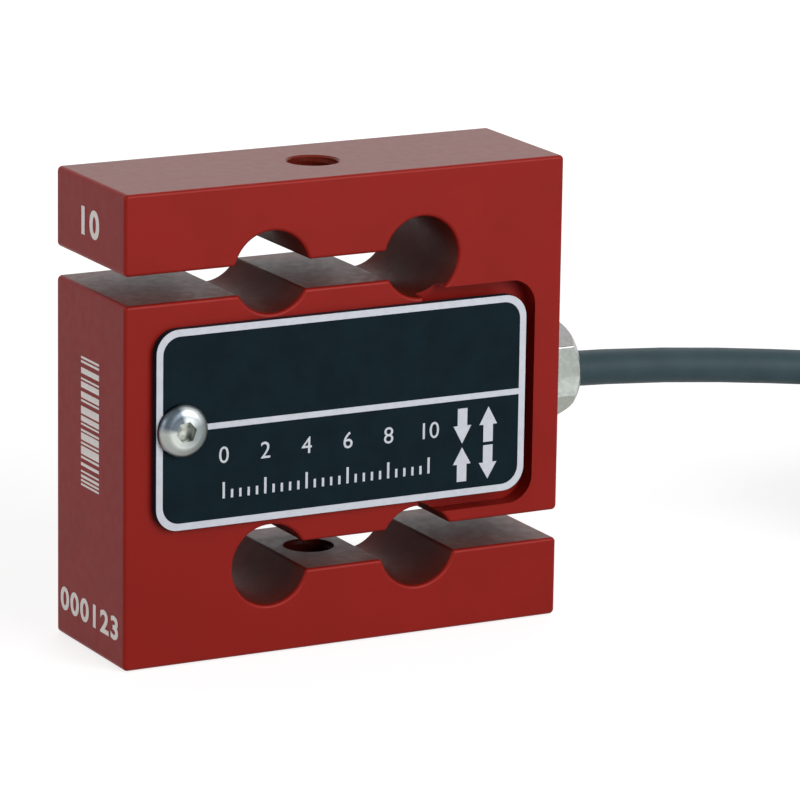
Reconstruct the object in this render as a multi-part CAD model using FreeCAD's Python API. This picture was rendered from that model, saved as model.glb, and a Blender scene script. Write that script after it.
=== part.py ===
import FreeCAD, Part
import math
import os

os.makedirs("parts", exist_ok=True)
V = FreeCAD.Vector
X_AXIS = V(1, 0, 0)
Y_AXIS = V(0, 1, 0)

# Frame: X is the width, -Y is the front with the cover plate, Z is the load axis and points up.
# The origin is the middle of the lower thread's mouth, on the underside of the block.
# All sizes are in millimetres.

# Block
BLOCK_W = 50.0          # width, X
BLOCK_H = 49.2          # height along the load axis, Z
BLOCK_D = 16.3          # thickness, Y
EDGE_R = 0.5            # rounded corners of the outline
RIM_R = 0.35            # rounded rims of the front and back faces
BEND_R = 0.4            # rounded corners where a slot runs into a hole

# Gauge chamber and the four flexures between it and the round holes
CHAMBER_W = 26.0        # X
ARM_OVER = 5.05         # metal left between the round holes and the ends of the block
CHAMBER_R = 3.0         # corner radius left by the end mill
BACK_WALL = 2.0         # metal left behind the chamber
FLEXURE_T = 1.65        # thinnest metal between chamber and hole
HOLE_R = 4.25           # round holes that thin the flexures
HOLE_X = 8.55           # holes left and right of the load axis
SLOT_H = 3.0            # height of the two slots
SLOT_SHIFT = 0.55       # slots lie this much nearer to the middle than the holes

# Recess in the front at the cable end
RECESS_MARGIN = 3.1     # metal left between the recess and the cable face
RECESS_W = 13.9         # X
RECESS_OVER = 2.5       # recess is this much taller than the chamber, above and below
RECESS_DEPTH = 2.0
RECESS_R = 2.8

# Cover plate and its screw
PLATE_MARGIN = 3.1      # from the left face of the block to the plate
PLATE_GAP = 1.45        # from the plate to the right wall of the recess
PLATE_OVER = 1.05       # plate is this much taller than the chamber, above and below
PLATE_RAISE = 0.2       # plate's middle lies this much above the block's middle
PLATE_T = 0.8
PLATE_R = 2.5
SCREW_INSET = 2.87      # screw axis from the plate's left edge
SCREW_D = 3.0
SCREW_LEN = 6.0
TIP_GAP = 0.4           # tapped hole runs on past the screw's tip
TIP_CHAMFER = 0.3
HEAD_D = 5.5
HEAD_H = 1.15
HEAD_RIM = 0.25         # straight rim under the dome
HEAD_FLAT = 0.55        # share of the head's width that is flat on top
HEAD_BULGE = 0.12       # how far the dome stands out of its chord, as a share of its size
SOCKET_AF = 2.0
SOCKET_DEPTH = 1.0
SOCKET_TURN = 10.0      # degrees the screw has stopped past level
THREAD_CLEAR = 0.04     # radial gap between a screw thread and its tapped wall
PLATE_CLEAR = 0.15      # radial gap round the screw in the plate

# Load threads, M6, drawn at the pitch diameter
LOAD_THREAD_D = 5.35
LOAD_MOUTH = 0.2        # chamfer at the mouths

# Cable entry
CABLE_D = 3.8
CABLE_CLEAR = 0.1       # radial gap round the cable in bores
GLAND_AF = 9.3          # hexagon across flats
GLAND_TURN = 6.0        # degrees the gland has stopped past level
GLAND_HEX_L = 4.2       # length of the hexagon
GLAND_CHAMFER = 0.9     # length of the turned end at the corners
GLAND_EDGE_R = 0.25     # broken edges between its flats
GLAND_END_STEP = 0.2    # turned end is this much smaller than the hexagon, in radius
GLAND_THREAD_D = 7.8
GLAND_THREAD_L = 5.5
WASHER_T = 0.5
WASHER_RING = 0.7       # width of the washer round the thread
SEAL_D = 6.0
SEAL_L = 2.6
SEAL_CLEAR = 0.05       # radial gap round the seal
SEAL_BORE_CLEAR = 0.15  # radial gap round the cable in the seal, which takes up its bend
JACKET_IN = 1.5         # cable jacket stands this far into the chamber

# Gauges, board and inner wires
GAUGE_L = 6.0
GAUGE_WID = 4.4
GAUGE_T = 0.1
BOARD_W = 12.0
BOARD_H = 10.4
BOARD_T = 1.0
PAD_X = 2.6             # column of cable pads on the board
PAD_STEP = 1.6
CHIP_L = 2.0
CHIP_W = 1.25
CHIP_T = 0.55
CHIP_X = 2.6
CORES = ("white", "red", "shield", "green", "black")
PAD_ROWS = (2, 1, -1, -2, 0)    # row of each core's pad on the board, from the middle
CORE_D = 0.9            # insulated core of the cable
CORE_PITCH_R = 1.05     # cores lie on this radius inside the jacket
CORE_STRAIGHT = 0.4     # share of the way to the board on which a core runs straight
CORE_STAND = 1.6        # a core turns to its pad this far in front of the board
PAD_STAGGER = 1.1       # every second pad lies this much nearer to the cable
LEAD_D = 0.5            # twin lead of one gauge
LEAD_AT = 0.35          # lead leaves its gauge this share of the gauge's length off the middle
LEAD_BACK = 0.3         # and this share of the gauge's width behind the middle
LEAD_DROP = 0.45        # share of its drop on which a lead runs straight
LEAD_STAND = 0.55       # lead turns to its pad at this share of the board's depth
LEAD_PAD_X = 0.9        # corner pad from the board's sides
LEAD_PAD_Z = 0.7

# Free cable: the way to the put-away hank, the hank, its tie and the bare ends
EXIT_RUN = 3.05         # straight run past the gland
SAG_X = 66.0            # the cable turns towards the hank's front leg here
SAG = 3.85              # height lost up to there
HANK_X = 87.0           # middle of the hank's near end loop
HANK_Y = -1.2           # middle line of the hank
HANK_RUN = 70.0         # straight run between the end loops
HANK_FOLD_R = 11.4      # bend of the innermost turn
HANK_ROWS = 4
HANK_COLS = 2
HANK_ROUND = 0.97       # rounded corners of the bundle, as a share of the cable's radius
JOIN_IN = 23.0          # the cable lies down on the front leg this far past the near loop's middle
JOIN_RUN = 20.0         # last run of the cable, above the front leg
JOIN_GAP = 0.3          # its end is this much clear of the turns below
JOIN_SINK = 0.4         # the first turn ends up this much below the bundle's top
TIE_W = 4.0
TIE_T = 0.8
TIE_R = 2.4             # outer corners of the band
TAIL_PAST = 1.2         # tail runs on this much past the far loop, as a share of the least way
STRIP_L = 20.0          # stripped length of the cores
STRIP_STRAIGHT = 0.24   # share of it that runs straight on
STRIP_BEND = 0.6        # share at which a core bends down to the table
FAN = 2.0               # spread of the cores, as a share of their place in the cable
FAN_SHIFT = 2.6         # and their common drift towards the hank's middle line

PAST = 1.0              # cutters stand this far out of the metal
SAME = 1e-4             # places closer than this are one place
SHORT = 0.1             # edges shorter than this are left alone

# Derived places
FRONT = -BLOCK_D / 2.0
BACK = BLOCK_D / 2.0
LEFT = -BLOCK_W / 2.0
RIGHT = BLOCK_W / 2.0
MID = BLOCK_H / 2.0
CHAMBER_H = BLOCK_H - 2.0 * (ARM_OVER + 2.0 * HOLE_R + FLEXURE_T)
HOLE_OFF = CHAMBER_H / 2.0 + FLEXURE_T + HOLE_R
SLOT_OFF = HOLE_OFF - SLOT_SHIFT
CHAMBER_Y = BACK - BACK_WALL
BOARD_Y = CHAMBER_Y - BOARD_T
PLATE_LEFT = LEFT + PLATE_MARGIN
RECESS_RIGHT = RIGHT - RECESS_MARGIN
PLATE_RIGHT = RECESS_RIGHT - PLATE_GAP
PLATE_HALF_H = CHAMBER_H / 2.0 + PLATE_OVER
SCREW_X = PLATE_LEFT + SCREW_INSET
SCREW_Z = MID + PLATE_RAISE
HEX_X = RIGHT + WASHER_T
GLAND_END = HEX_X + GLAND_HEX_L
WASHER_D = GLAND_THREAD_D + 2.0 * WASHER_RING
CABLE_R = CABLE_D / 2.0
JACKET_X = CHAMBER_W / 2.0 - JACKET_IN
TURN_IN_R = HANK_FOLD_R
TURN_OUT_R = HANK_FOLD_R + (HANK_COLS - 1) * CABLE_D
HANK_IN_R = TURN_IN_R - CABLE_R
HANK_OUT_R = TURN_OUT_R + CABLE_R
HANK_H = HANK_ROWS * CABLE_D
HANK_EDGE_R = HANK_ROUND * CABLE_R
HANK_FAR_X = HANK_X + HANK_RUN
LEG_R = (TURN_IN_R + TURN_OUT_R) / 2.0
FRONT_LEG_Y = HANK_Y - LEG_R
JOIN_X = HANK_X + JOIN_IN
JOIN_Z = HANK_H + CABLE_R + JOIN_GAP
JOIN_SLOPE = (CABLE_D + JOIN_GAP + JOIN_SINK) / (HANK_RUN - JOIN_IN)
TAIL_X = HANK_FAR_X + TAIL_PAST * math.sqrt(HANK_OUT_R ** 2 - (TURN_OUT_R - CABLE_R) ** 2)
TAIL_Y = HANK_Y - TURN_OUT_R
TAIL_Z = CABLE_R


def box(x0, x1, y0, y1, z0, z1):
    return Part.makeBox(x1 - x0, y1 - y0, z1 - z0, V(x0, y0, z0))


def cyl_y(x, z, r, y0, y1):
    return Part.makeCylinder(r, y1 - y0, V(x, y0, z), V(0, 1, 0))


def cyl_x(y, z, r, x0, x1):
    return Part.makeCylinder(r, x1 - x0, V(x0, y, z), V(1, 0, 0))


def cyl_z(x, y, r, z0, z1):
    return Part.makeCylinder(r, z1 - z0, V(x, y, z0), V(0, 0, 1))


def edges_along(shape, axis):
    """Straight edges of a shape that run along one axis."""
    found = []
    for edge in shape.Edges:
        way = edge.Vertexes[-1].Point - edge.Vertexes[0].Point
        if way.cross(axis).Length < SAME and abs(way.dot(axis)) > SHORT:
            found.append(edge)
    return found


def rounded_box_y(x0, x1, z0, z1, y0, y1, r):
    """Upright slab with its four corners rounded about Y."""
    slab = box(x0, x1, y0, y1, z0, z1)
    return slab.makeFillet(r, edges_along(slab, Y_AXIS))


def rounded_bar_x(x0, x1, y0, y1, z0, z1, r):
    """Bar along X with its four long edges rounded."""
    bar = box(x0, x1, y0, y1, z0, z1)
    return bar.makeFillet(r, edges_along(bar, X_AXIS))


def edges_on_plane_y(shape, y):
    found = []
    for edge in shape.Edges:
        b = edge.BoundBox
        if abs(b.YMin - y) < SAME and abs(b.YMax - y) < SAME:
            found.append(edge)
    return found


def route_tube(points, d, share=0.45):
    """Round rod along straight runs that are joined by tangent arcs.

    Each arc starts and ends at the given share of its shorter run from its corner.
    """
    pts = [V(*p) for p in points]
    edges = []
    start = pts[0]
    radii = []
    for i in range(1, len(pts) - 1):
        u = pts[i] - pts[i - 1]
        w = pts[i + 1] - pts[i]
        short = min(u.Length, w.Length)
        u.normalize()
        w.normalize()
        turn = math.acos(max(-1.0, min(1.0, u.dot(w))))
        cut = share * short
        radii.append(cut / math.tan(turn / 2.0))
        a = pts[i] - u * cut
        b = pts[i] + w * cut
        half = w - u
        half.normalize()
        middle = pts[i] + half * (radii[-1] / math.cos(turn / 2.0) - radii[-1])
        edges.append(Part.LineSegment(start, a).toShape())
        edges.append(Part.Arc(a, middle, b).toShape())
        start = b
    edges.append(Part.LineSegment(start, pts[-1]).toShape())
    path = Part.Wire(edges)
    along = pts[1] - pts[0]
    ring = Part.Wire(Part.makeCircle(d / 2.0, pts[0], along))
    rod = path.makePipe(Part.Face(ring))
    if rod.ShapeType != "Solid":
        rod = rod.Solids[0]
    want = math.pi * d * d / 4.0 * path.Length
    print("tube d %.2f length %.1f tightest arc %.2f volume ratio %.4f" % (
        d, path.Length, min(radii) if radii else 0.0, rod.Volume / want))
    return rod


def hexagon(af, turn):
    """Corners of a hexagon of the given width across flats, turned by the given degrees, first one twice."""
    r = af / math.sqrt(3.0)
    angles = [math.radians(60.0 * k + turn) for k in range(7)]
    return [(r * math.cos(a), r * math.sin(a)) for a in angles]


def hexagon_x(af, x0, x1, y, z, turn):
    """Hexagonal bar along X, turned from upright flats in front and behind."""
    pts = [V(x0, y + v, z + u) for u, v in hexagon(af, turn)]
    return Part.Face(Part.makePolygon(pts)).extrude(V(x1 - x0, 0, 0))


def hexagon_y(af, y0, y1, x, z, turn):
    """Hexagonal bar along Y, turned from level flats above and below."""
    pts = [V(x + u, y0, z + v) for u, v in hexagon(af, turn)]
    return Part.Face(Part.makePolygon(pts)).extrude(V(0, y1 - y0, 0))


def turned(profile, axis_point, axis_dir):
    """Solid of revolution from a closed list of points in one plane with the axis."""
    pts = [V(*p) for p in profile]
    wire = Part.makePolygon(pts + pts[:1])
    return Part.Face(wire).revolve(axis_point, axis_dir, 360.0)


def slot_edges(body):
    """Edges along Y on the slots' floors and ceilings, each with its distance from the load axis."""
    found = []
    for edge in edges_along(body, Y_AXIS):
        p = edge.Vertexes[0].Point
        if abs(abs(abs(p.z - MID) - SLOT_OFF) - SLOT_H / 2.0) < SAME:
            found.append((edge, abs(p.x)))
    return found


def sensor_body():
    """S-shaped spring body cut from one bar, with its four flexures."""
    body = rounded_box_y(LEFT, RIGHT, 0.0, BLOCK_H, FRONT, BACK, EDGE_R)
    for sign in (1.0, -1.0):
        # the upper slot is open to the left, the lower slot to the right
        near = -sign * (BLOCK_W / 2.0 + PAST)
        far = sign * HOLE_X
        z = MID + sign * SLOT_OFF
        body = body.cut(box(min(near, far), max(near, far), FRONT - PAST, BACK + PAST,
                            z - SLOT_H / 2.0, z + SLOT_H / 2.0))
        for x in (-HOLE_X, HOLE_X):
            body = body.cut(cyl_y(x, MID + sign * HOLE_OFF, HOLE_R, FRONT - PAST, BACK + PAST))
    mouths = [edge for edge, x in slot_edges(body) if abs(x - BLOCK_W / 2.0) < SAME]
    body = body.makeFillet(EDGE_R, mouths)
    bends = [edge for edge, x in slot_edges(body) if x < HOLE_X + HOLE_R]
    body = body.makeFillet(BEND_R, bends)
    body = body.makeFillet(RIM_R, edges_on_plane_y(body, FRONT) + edges_on_plane_y(body, BACK))
    # gauge chamber, open to the front
    body = body.cut(rounded_box_y(-CHAMBER_W / 2.0, CHAMBER_W / 2.0, MID - CHAMBER_H / 2.0,
                                  MID + CHAMBER_H / 2.0, FRONT - PAST, CHAMBER_Y, CHAMBER_R))
    # recess at the cable end
    half = CHAMBER_H / 2.0 + RECESS_OVER
    body = body.cut(rounded_box_y(RECESS_RIGHT - RECESS_W, RECESS_RIGHT, MID - half, MID + half,
                                  FRONT - PAST, FRONT + RECESS_DEPTH, RECESS_R))
    # load threads through both arms, with chamfered outer mouths
    r = LOAD_THREAD_D / 2.0
    arm = MID - SLOT_OFF
    body = body.cut(cyl_z(0.0, 0.0, r, -PAST, arm))
    body = body.cut(cyl_z(0.0, 0.0, r, BLOCK_H - arm, BLOCK_H + PAST))
    wide = r + LOAD_MOUTH
    body = body.cut(Part.makeCone(wide, r, LOAD_MOUTH, V(0, 0, 0), V(0, 0, 1)))
    body = body.cut(Part.makeCone(wide, r, LOAD_MOUTH, V(0, 0, BLOCK_H), V(0, 0, -1)))
    # cable entry and the tapped hole of the cover screw
    body = body.cut(cyl_x(0.0, MID, CABLE_R + CABLE_CLEAR, CHAMBER_W / 2.0 - PAST, RIGHT + PAST))
    body = body.cut(cyl_x(0.0, MID, GLAND_THREAD_D / 2.0 + THREAD_CLEAR,
                          RIGHT - GLAND_THREAD_L - WASHER_T, RIGHT + PAST))
    body = body.cut(cyl_y(SCREW_X, SCREW_Z, SCREW_D / 2.0, FRONT - PAST, FRONT + SCREW_LEN))
    return body


def cover_plate():
    plate = rounded_box_y(PLATE_LEFT, PLATE_RIGHT, SCREW_Z - PLATE_HALF_H, SCREW_Z + PLATE_HALF_H,
                          FRONT - PLATE_T, FRONT, PLATE_R)
    return plate.cut(cyl_y(SCREW_X, SCREW_Z, SCREW_D / 2.0 + PLATE_CLEAR,
                           FRONT - PLATE_T - PAST, FRONT + PAST))


def cover_screw():
    """Button-head screw with a hexagon socket."""
    face = FRONT - PLATE_T
    top = face - HEAD_H
    r = HEAD_D / 2.0
    flat = HEAD_FLAT * r
    # domed head: an arc from the rim to the flat top
    a = V(SCREW_X + r, face - HEAD_RIM, SCREW_Z)
    c = V(SCREW_X + flat, top, SCREW_Z)
    b = V(SCREW_X + (r + flat) / 2.0 + HEAD_BULGE * r,
          face - (HEAD_H + HEAD_RIM) / 2.0 - HEAD_BULGE * HEAD_H, SCREW_Z)
    shank = SCREW_D / 2.0 - THREAD_CLEAR
    tip = FRONT + SCREW_LEN - PLATE_T - TIP_GAP
    pts = [c, V(SCREW_X, top, SCREW_Z), V(SCREW_X, tip, SCREW_Z),
           V(SCREW_X + shank - TIP_CHAMFER, tip, SCREW_Z), V(SCREW_X + shank, tip - TIP_CHAMFER, SCREW_Z),
           V(SCREW_X + shank, face, SCREW_Z), V(SCREW_X + r, face, SCREW_Z), a]
    edges = [Part.Arc(a, b, c).toShape()]
    for i in range(len(pts) - 1):
        edges.append(Part.LineSegment(pts[i], pts[i + 1]).toShape())
    screw = Part.Face(Part.Wire(edges)).revolve(V(SCREW_X, 0, SCREW_Z), V(0, 1, 0), 360.0)
    return screw.cut(hexagon_y(SOCKET_AF, top - PAST, top + SOCKET_DEPTH, SCREW_X, SCREW_Z, SOCKET_TURN))


def gland_body():
    """Hexagonal cable gland with a turned end, a threaded stem and a seat for the rubber seal."""
    gland = hexagon_x(GLAND_AF, HEX_X, GLAND_END, 0.0, MID, GLAND_TURN)
    gland = gland.makeFillet(GLAND_EDGE_R, edges_along(gland, X_AXIS))
    corner = GLAND_AF / math.sqrt(3.0) + PAST
    end_r = GLAND_AF / 2.0 - GLAND_END_STEP
    start = HEX_X - PAST
    bevel = GLAND_CHAMFER * (corner - end_r) / (GLAND_AF / math.sqrt(3.0) - end_r)
    turn = turned([(start, 0, MID), (start, 0, MID + corner), (GLAND_END - bevel, 0, MID + corner),
                   (GLAND_END, 0, MID + end_r), (GLAND_END, 0, MID)], V(0, 0, MID), V(1, 0, 0))
    gland = gland.common(turn)
    gland = gland.fuse(cyl_x(0.0, MID, GLAND_THREAD_D / 2.0, RIGHT - GLAND_THREAD_L, HEX_X + WASHER_T))
    gland = gland.cut(cyl_x(0.0, MID, CABLE_R + CABLE_CLEAR,
                            RIGHT - GLAND_THREAD_L - PAST, GLAND_END + PAST))
    gland = gland.cut(cyl_x(0.0, MID, SEAL_D / 2.0 + SEAL_CLEAR, GLAND_END - SEAL_L, GLAND_END + PAST))
    return gland.removeSplitter()


def gland_seal():
    ring = cyl_x(0.0, MID, SEAL_D / 2.0, GLAND_END - SEAL_L, GLAND_END)
    return ring.cut(cyl_x(0.0, MID, CABLE_R + SEAL_BORE_CLEAR, GLAND_END - SEAL_L - PAST, GLAND_END + PAST))


def gland_washer():
    ring = cyl_x(0.0, MID, WASHER_D / 2.0, RIGHT, HEX_X)
    return ring.cut(cyl_x(0.0, MID, GLAND_THREAD_D / 2.0 + THREAD_CLEAR, RIGHT - PAST, HEX_X + PAST))


def gauge(side_x, side_z):
    """Foil gauge bonded to the chamber wall over one flexure."""
    x = side_x * HOLE_X
    wall = MID + side_z * CHAMBER_H / 2.0
    inner = wall - side_z * GAUGE_T
    reach = CHAMBER_W / 2.0 - CHAMBER_R
    x0 = max(-reach, x - GAUGE_L / 2.0)
    x1 = min(reach, x + GAUGE_L / 2.0)
    return box(x0, x1, -GAUGE_WID / 2.0, GAUGE_WID / 2.0, min(wall, inner), max(wall, inner))


def terminal_board():
    return box(-BOARD_W / 2.0, BOARD_W / 2.0, BOARD_Y, CHAMBER_Y, MID - BOARD_H / 2.0, MID + BOARD_H / 2.0)


def chip(side_z):
    """Trimming resistor on the board."""
    z = MID + side_z * PAD_STEP
    return box(-CHIP_X - CHIP_L / 2.0, -CHIP_X + CHIP_L / 2.0, BOARD_Y - CHIP_T, BOARD_Y,
               z - CHIP_W / 2.0, z + CHIP_W / 2.0)


def gauge_lead(side_x, side_z):
    """Twin lead from a gauge to the board's corner pad."""
    wall = MID + side_z * (CHAMBER_H / 2.0 - GAUGE_T)
    x = side_x * (HOLE_X - LEAD_AT * GAUGE_L)
    y = LEAD_BACK * GAUGE_WID
    pad_x = side_x * (BOARD_W / 2.0 - LEAD_PAD_X)
    pad_z = MID + side_z * (BOARD_H / 2.0 - LEAD_PAD_Z)
    drop = wall - pad_z
    points = [(x, y, wall), (x, y, wall - LEAD_DROP * drop),
              (pad_x, LEAD_STAND * BOARD_Y, pad_z), (pad_x, BOARD_Y, pad_z)]
    return route_tube(points, LEAD_D)


def core_seat(k):
    """Place of one core in the cable's section, highest core first."""
    a = math.radians(90.0 - 360.0 * k / len(CORES))
    return CORE_PITCH_R * math.cos(a), CORE_PITCH_R * math.sin(a)


def inner_core(k):
    """Core from the jacket's end to its pad on the board."""
    dy, dz = core_seat(k)
    row = PAD_ROWS[k]
    pad_z = MID + row * PAD_STEP
    pad_x = PAD_X + PAD_STAGGER * (row % 2)
    run = JACKET_X - pad_x
    points = [(JACKET_X, dy, MID + dz), (JACKET_X - CORE_STRAIGHT * run, dy, MID + dz),
              (pad_x, BOARD_Y - CORE_STAND, pad_z), (pad_x, BOARD_Y, pad_z)]
    return route_tube(points, CORE_D)


def cable_points():
    """Corner points of the free cable from inside the gland to the top of the hank's front leg."""
    return [(JACKET_X, 0.0, MID), (GLAND_END + EXIT_RUN, 0.0, MID), (SAG_X, 0.0, MID - SAG),
            (JOIN_X - JOIN_RUN, FRONT_LEG_Y, JOIN_Z + JOIN_RUN * JOIN_SLOPE), (JOIN_X, FRONT_LEG_Y, JOIN_Z)]


def stadium(r):
    """Block with straight sides and round ends, as high as the hank."""
    near = HANK_Y - r
    far = HANK_Y + r
    front_near = V(HANK_X, near, 0)
    front_far = V(HANK_FAR_X, near, 0)
    back_far = V(HANK_FAR_X, far, 0)
    back_near = V(HANK_X, far, 0)
    edges = [Part.LineSegment(front_near, front_far).toShape(),
             Part.Arc(front_far, V(HANK_FAR_X + r, HANK_Y, 0), back_far).toShape(),
             Part.LineSegment(back_far, back_near).toShape(),
             Part.Arc(back_near, V(HANK_X - r, HANK_Y, 0), front_near).toShape()]
    return Part.Face(Part.Wire(edges)).extrude(V(0, 0, HANK_H))


def hank_loop():
    """Closed loop of the tied turns, with rounded corners."""
    loop = stadium(HANK_OUT_R).cut(stadium(HANK_IN_R))
    level = []
    for edge in loop.Edges:
        b = edge.BoundBox
        if abs(b.ZMax - b.ZMin) < SAME:
            level.append(edge)
    return loop.makeFillet(HANK_EDGE_R, level)


def hank_tie():
    """Flat band round the back leg of the hank."""
    x = (HANK_X + HANK_FAR_X) / 2.0
    y0 = HANK_Y + HANK_IN_R
    y1 = HANK_Y + HANK_OUT_R
    band = rounded_bar_x(x - TIE_W / 2.0, x + TIE_W / 2.0, y0 - TIE_T, y1 + TIE_T,
                         0.0, HANK_H + TIE_T, TIE_R)
    return band.cut(rounded_bar_x(x - TIE_W, x + TIE_W, y0, y1, TIE_T, HANK_H, HANK_EDGE_R))


def cable_hank():
    """Outer shape of the tied turns, with the pieces that enter and leave them."""
    along = V(1.0, 0.0, -JOIN_SLOPE)
    length = (HANK_FAR_X - JOIN_X) * along.Length
    enter = Part.makeCylinder(CABLE_R, length, V(JOIN_X, FRONT_LEG_Y, JOIN_Z), along)
    leave = cyl_x(TAIL_Y, TAIL_Z, CABLE_R, HANK_FAR_X - CABLE_D, TAIL_X)
    return hank_loop().cut(hank_tie()).fuse(enter).fuse(leave).removeSplitter()


def bare_core(k):
    """Stripped core at the free end, drooping to the table."""
    dy, dz = core_seat(k)
    z = TAIL_Z + dz
    low = CORE_D / 2.0
    fan = FAN * dy + FAN_SHIFT
    points = [(TAIL_X, TAIL_Y + dy, z), (TAIL_X + STRIP_STRAIGHT * STRIP_L, TAIL_Y + dy, z),
              (TAIL_X + STRIP_BEND * STRIP_L, TAIL_Y + dy + fan / 2.0, (z + low) / 2.0),
              (TAIL_X + STRIP_L, TAIL_Y + dy + fan, low)]
    return route_tube(points, CORE_D)


def write(name, shape):
    solids = shape.Solids
    print("%-24s solids %d valid %s volume %.2f" % (name, len(solids), shape.isValid(), shape.Volume))
    if len(solids) == 1:
        shape = solids[0]
    shape.exportStep("parts/%s.step" % name)


write("sensor_body", sensor_body())
write("cover_plate", cover_plate())
write("cover_screw", cover_screw())
write("gland_body", gland_body())
write("gland_seal", gland_seal())
write("gland_washer", gland_washer())
for z_name, z_side in (("upper", 1.0), ("lower", -1.0)):
    for x_name, x_side in (("left", -1.0), ("right", 1.0)):
        write("gauge_%s_%s" % (z_name, x_name), gauge(x_side, z_side))
        write("gauge_lead_%s_%s" % (z_name, x_name), gauge_lead(x_side, z_side))
write("terminal_board", terminal_board())
write("span_resistor", chip(1.0))
write("zero_resistor", chip(-1.0))
for index, core_name in enumerate(CORES):
    write("inner_core_%s" % core_name, inner_core(index))
    write("bare_core_%s" % core_name, bare_core(index))
write("cable", route_tube(cable_points(), CABLE_D))
write("cable_hank", cable_hank())
write("hank_tie", hank_tie())
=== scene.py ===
import math

import bmesh
import bpy
from mathutils import Matrix, Vector

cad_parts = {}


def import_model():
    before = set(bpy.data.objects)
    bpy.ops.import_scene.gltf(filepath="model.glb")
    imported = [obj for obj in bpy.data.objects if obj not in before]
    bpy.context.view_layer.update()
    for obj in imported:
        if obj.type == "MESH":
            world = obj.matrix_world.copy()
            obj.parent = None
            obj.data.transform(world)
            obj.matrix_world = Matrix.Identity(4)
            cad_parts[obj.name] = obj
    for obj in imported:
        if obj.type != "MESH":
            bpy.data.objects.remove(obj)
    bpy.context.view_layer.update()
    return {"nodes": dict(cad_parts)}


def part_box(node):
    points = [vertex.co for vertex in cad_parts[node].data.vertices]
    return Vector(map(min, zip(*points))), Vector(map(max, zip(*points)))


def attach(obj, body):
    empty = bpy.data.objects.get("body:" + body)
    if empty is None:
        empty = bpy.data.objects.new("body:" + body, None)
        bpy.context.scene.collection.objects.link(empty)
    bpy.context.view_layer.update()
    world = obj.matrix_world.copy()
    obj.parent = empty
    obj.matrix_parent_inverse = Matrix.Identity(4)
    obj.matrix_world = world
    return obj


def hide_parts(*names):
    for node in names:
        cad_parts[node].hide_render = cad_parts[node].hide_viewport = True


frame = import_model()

# Frame: X is the width, -Y is the front with the cover plate, and Z points up.
# Sizes and places are in millimetres, and those of the lamps and the floor in metres.
MM = 0.001
WELD = 0.0001           # points of a mesh closer than this are one point
NODES = frame["nodes"]


def box_mm(node):
    """Lowest and highest corner of a solid, to the nearest micron."""
    return [[round(value / MM, 3) for value in corner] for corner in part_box(node)]


# Sizes that the frame gives
BODY_LOW, BODY_HIGH = box_mm("sensor_body")
PLATE_LOW, PLATE_HIGH = box_mm("cover_plate")
TIE_LOW, TIE_HIGH = box_mm("hank_tie")
LEFT_FACE = BODY_LOW[0]
HALF_W = BODY_HIGH[0]
BLOCK_H = BODY_HIGH[2]
MID = 0.5 * BLOCK_H
PLATE = (PLATE_LOW[0], PLATE_HIGH[0], PLATE_LOW[2], PLATE_HIGH[2])
PLATE_FACE = PLATE_LOW[1]
TIE_X = 0.5 * (TIE_LOW[0] + TIE_HIGH[0])

# Other sizes of the solids
ARM_H = 8.35            # from an end of the block to its slot
SLOT_H = 3.0
PLATE_R = 2.5           # corners of the plate
SCREW_INSET = 2.87      # screw's axis from the plate's left edge
SCREW = (PLATE[0] + SCREW_INSET, 0.5 * (PLATE[2] + PLATE[3]))
CABLE_D = 3.8

# How the faces of the bar are told apart
SQUARE = 0.99           # least part of its normal along an axis in a face that is square to it
CORNER = 0.6            # the outline's rounded corners end this far in
ON_END = 0.2            # a face of the top or the underside lies this near to it
ON_FACE = 0.1           # the same for a slot's floor and for the left and right faces
MOUTH_R = 3.5           # the upper thread's mouth lies within this radius
MOUTH_DEPTH = 1.0       # and this depth
MOUTH_UP = 0.3          # least upward part of the normal in a face of the mouth
CUT_Y = (-5.5, 7.75)    # cut walls lie between the floor of the recess and the rim of the back
SLOT_FLOORS = (ARM_H, BLOCK_H - ARM_H - SLOT_H)

# Painted light and shade on the screw's head, by the distance from the middle of its foot
HEAD_FOOT = 0.2         # the painted shade on the rim fades between these two heights over the plate
RIM_TOP = 0.45
RIM_R = (2.2, 2.6)      # it comes in between these distances
RIM_SHADE = 0.06         # share of its brightness that the metal keeps in the rim's painted shade
SOCKET_R = (1.15, 1.3)  # the socket's mottled painted shade gives way to the painted reflections between these
PAINTED_HEAD_R = (1.0, 2.2)     # the painted highlight and shade round the socket lie between these
STEEL_GAIN = 1.45       # the greys are this much brighter than they are written

# Lower half of the gland, brighter by a painted reflection
GLAND_REFLECTION = 1.36
GLAND_REFLECTION_Z = (MID - 0.5, MID + 0.1)   # it fades between these heights

# Print on the plate
INK_T = 0.03
BORDER_EDGE = 0.04      # from the plate's edge to its border
BORDER_W = 0.72
BORDER_IN = BORDER_EDGE + BORDER_W
BORDER_ROUND = 0.8      # share of its inset by which the inner corner is sharper than the plate's
ARC_STEPS = 10          # steps round a corner
DIVIDER_X = -16.6       # starts under the screw's head
DIVIDER_Z = (24.56, 25.18)
ARROW_SHAFT = 0.56      # half widths
ARROW_HEAD = 1.04
ARROW_NECK = 1.85       # length of the shaft
# place, base and tip of each arrow
ARROWS = ((13.1, 23.7, 19.95), (13.1, 15.9, 19.55), (16.15, 19.85, 23.6), (16.15, 19.5, 15.9))
SCALE_X = -14.3         # first tick
TICKS = 26
TICK_STEP = 0.94
TICK_HALF = 0.13
TICK_FOOT = 17.2
TICK_TOP = 18.1
TALL_TOP = 18.9         # a tick with a number
TICKS_PER_NUMBER = 5
NUMBER_STEP = 2
NUMBER_FOOT = 20.9
NUMBER_H = 1.72

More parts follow.
